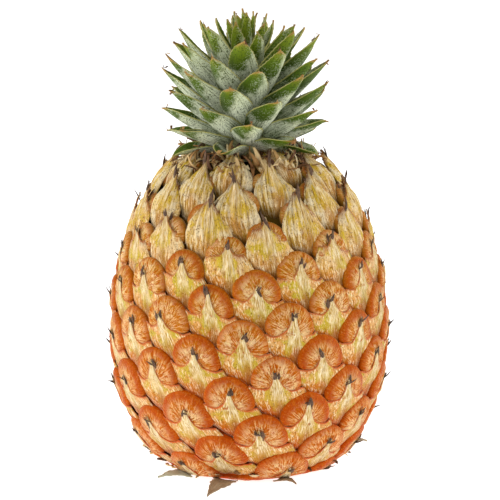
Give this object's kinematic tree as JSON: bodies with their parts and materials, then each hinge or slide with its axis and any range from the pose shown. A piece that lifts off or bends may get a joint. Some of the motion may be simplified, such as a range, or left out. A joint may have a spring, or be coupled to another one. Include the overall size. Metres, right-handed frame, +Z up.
{
  "type": "pineapple",
  "caption": "Whole ripe pineapple with a knobbly orange and yellow rind and a full leafy green crown, standing on its small flat base.",
  "frame": {"origin": "under the middle of the fruit, at the centre of its flat base, on the surface it stands on", "axes": "+Z up along the fruit from its base to the crown; -Y is the front; +X is to the right seen from the front"},
  "size_m": [0.1294, 0.1299, 0.2134],
  "materials": {
    "rind": "satin",
    "dry_stalk": "matte",
    "dry_bract": "matte",
    "crown_stem": "matte",
    "leaf": "satin",
    "young_leaf": "satin"
  },
  "bodies": {
    "root": {"fruit": "rind", "cut_stem": "dry_stalk", "base_bract_front": "dry_bract", "base_bract_left": "dry_bract", "base_bract_right": "dry_bract", "base_bract_back": "dry_bract", "base_bract_side": "dry_bract", "crown_stem": "crown_stem", "crown_leaf_01": "leaf", "crown_leaf_02": "leaf", "crown_leaf_03": "leaf", "crown_leaf_04": "leaf", "crown_leaf_05": "leaf", "crown_leaf_06": "leaf", "crown_leaf_07": "leaf", "crown_leaf_08": "leaf", "crown_leaf_09": "leaf", "crown_leaf_10": "leaf", "crown_leaf_11": "leaf", "crown_leaf_12": "leaf", "crown_leaf_13": "leaf", "crown_leaf_14": "leaf", "crown_leaf_15": "leaf", "crown_leaf_16": "leaf", "crown_leaf_17": "leaf", "crown_leaf_18": "leaf", "crown_leaf_19": "leaf", "crown_leaf_20": "leaf", "crown_leaf_21": "leaf", "crown_leaf_22": "leaf", "crown_leaf_23": "leaf", "crown_leaf_24": "leaf", "crown_leaf_25": "leaf", "crown_leaf_26": "leaf", "crown_leaf_27": "leaf", "crown_leaf_28": "leaf", "crown_leaf_29": "leaf", "crown_leaf_30": "leaf", "crown_leaf_31": "leaf", "crown_leaf_32": "leaf", "crown_leaf_33": "leaf", "crown_leaf_34": "leaf", "crown_leaf_35": "leaf", "crown_leaf_36": "leaf", "crown_leaf_37": "leaf", "crown_leaf_38": "leaf", "crown_leaf_39": "leaf", "crown_leaf_40": "leaf", "crown_leaf_41": "leaf", "crown_leaf_42": "leaf", "crown_leaf_43": "leaf", "crown_leaf_44": "leaf", "crown_leaf_45": "leaf", "crown_leaf_46": "leaf", "crown_leaf_47": "leaf", "crown_leaf_48": "leaf", "crown_leaf_49": "leaf", "crown_leaf_50": "leaf", "crown_leaf_51": "leaf", "crown_heart": "young_leaf"}
  },
  "joints": []
}
